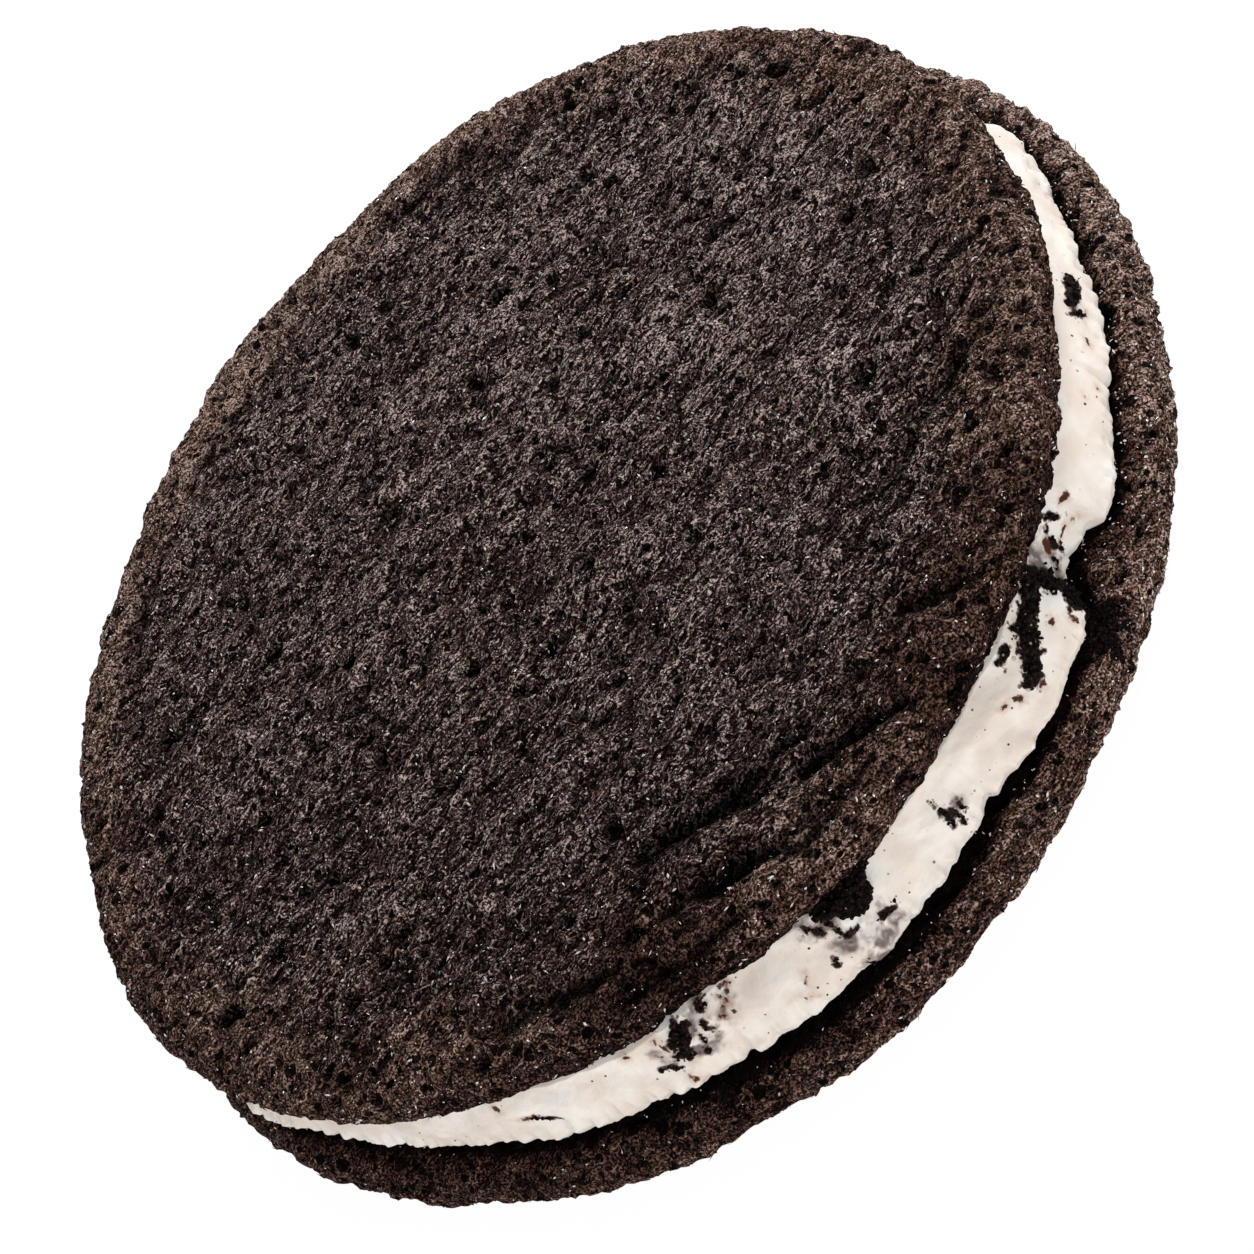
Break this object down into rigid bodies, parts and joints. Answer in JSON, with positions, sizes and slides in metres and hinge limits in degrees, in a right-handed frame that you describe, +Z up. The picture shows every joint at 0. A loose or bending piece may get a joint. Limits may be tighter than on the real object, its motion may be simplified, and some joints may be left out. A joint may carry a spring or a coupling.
{
  "type": "chocolate sandwich cookie",
  "caption": "Round dark chocolate sandwich cookie lying flat, soft crackled wafers with a thick vanilla cream filling that holds dark crumbs.",
  "frame": {"origin": "on the ground under the middle of the cookie's outline, where the lower wafer rests", "axes": "+Z up through the wafers and the cream; the side where the cream shows most faces -Y"},
  "size_m": [0.0814, 0.0814, 0.0149],
  "materials": {
    "lower_wafer": null,
    "cream_filling": null,
    "upper_wafer": null
  },
  "bodies": {
    "root": {"lower_wafer": "lower_wafer", "cream_filling": "cream_filling", "upper_wafer": "upper_wafer"}
  },
  "joints": []
}
